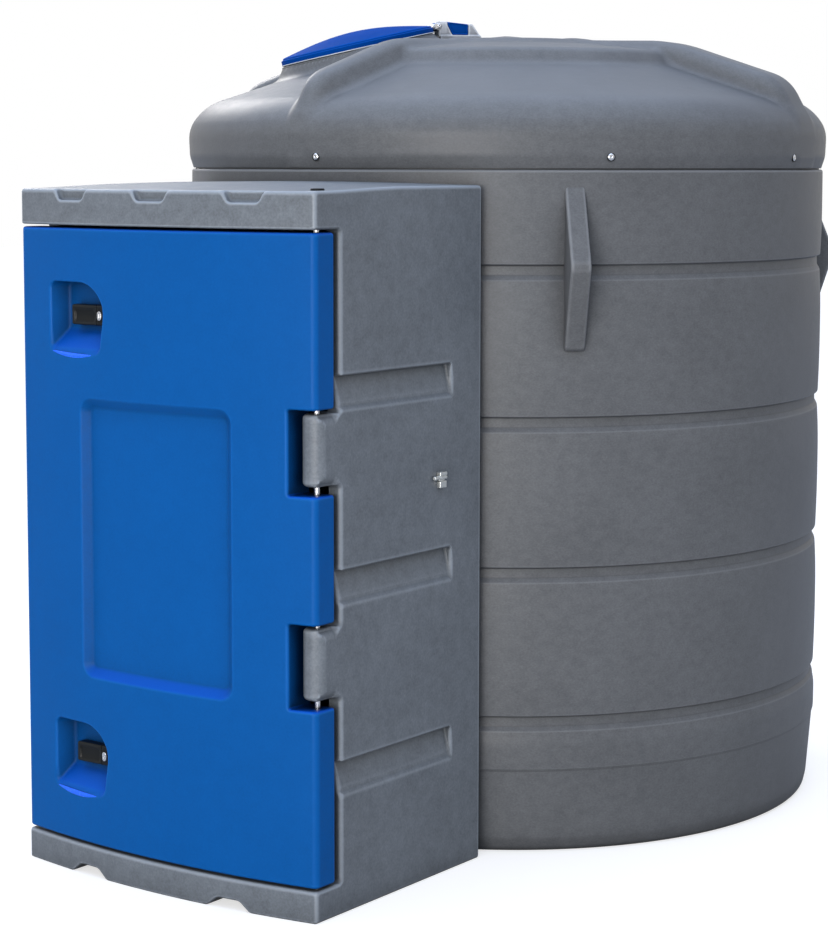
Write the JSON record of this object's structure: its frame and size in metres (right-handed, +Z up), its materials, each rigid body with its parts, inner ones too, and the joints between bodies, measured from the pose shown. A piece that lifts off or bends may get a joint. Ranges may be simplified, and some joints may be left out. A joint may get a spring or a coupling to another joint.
{
  "type": "diesel exhaust fluid tank",
  "caption": "Round upright plastic storage tank with a domed bolted-on cover, a hinged filling hatch and a dispensing cabinet with a hinged door.",
  "frame": {"origin": "the middle of the tank's floor, on the ground, on the tank's axis", "axes": "+Z up, -Y towards the cabinet door, +X to the right of someone who faces the door"},
  "size_m": [1.665, 2.2245, 1.9906],
  "materials": {
    "tank_grey": "fine-grained matte moulded plastic",
    "cabinet_grey": "speckled matte moulded plastic",
    "blue": "satin moulded plastic",
    "steel": "bright",
    "black": "satin",
    "zinc": "pale zinc plated"
  },
  "bodies": {
    "tank": {"tank_wall": "tank_grey", "tank_floor": "tank_grey", "cover_skirt": "tank_grey", "tank_cover": "tank_grey", "cover_crown": "tank_grey", "cover_rib_front": "tank_grey", "cover_rib_right": "tank_grey", "cover_rib_back": "tank_grey", "cover_rib_left": "tank_grey", "hatch_collar": "tank_grey", "lifting_lug_front_right": "tank_grey", "lifting_lug_back_right": "tank_grey", "lifting_lug_back_left": "tank_grey", "lifting_lug_front_left": "tank_grey", "hatch_bracket": "tank_grey", "hatch_bracket_insert": "blue", "hatch_pin": "steel", "cabinet_roof": "cabinet_grey", "cabinet_plinth": "cabinet_grey", "cabinet_right_wall": "cabinet_grey", "cabinet_left_wall": "cabinet_grey", "cabinet_back": "cabinet_grey", "upper_hinge_barrel": "cabinet_grey", "lower_hinge_barrel": "cabinet_grey", "hinge_rod": "steel", "side_fitting": "zinc"},
    "door": {"door_panel": "blue", "upper_latch": "black", "lower_latch": "black"},
    "hatch": {"hatch_lid": "blue"}
  },
  "joints": [
    {"name": "door_hinge", "type": "hinge", "parent": "tank", "child": "door", "pos_m": [0.4, -1.31, 0], "axis": [0, 0, 1], "range_deg": [0, 105]},
    {"name": "hatch_hinge", "type": "hinge", "parent": "tank", "child": "hatch", "pos_m": [-0.12841, -0.13674, 1.97861], "axis": [-0.729, 0.6845, 0], "range_deg": [0, 95]}
  ]
}
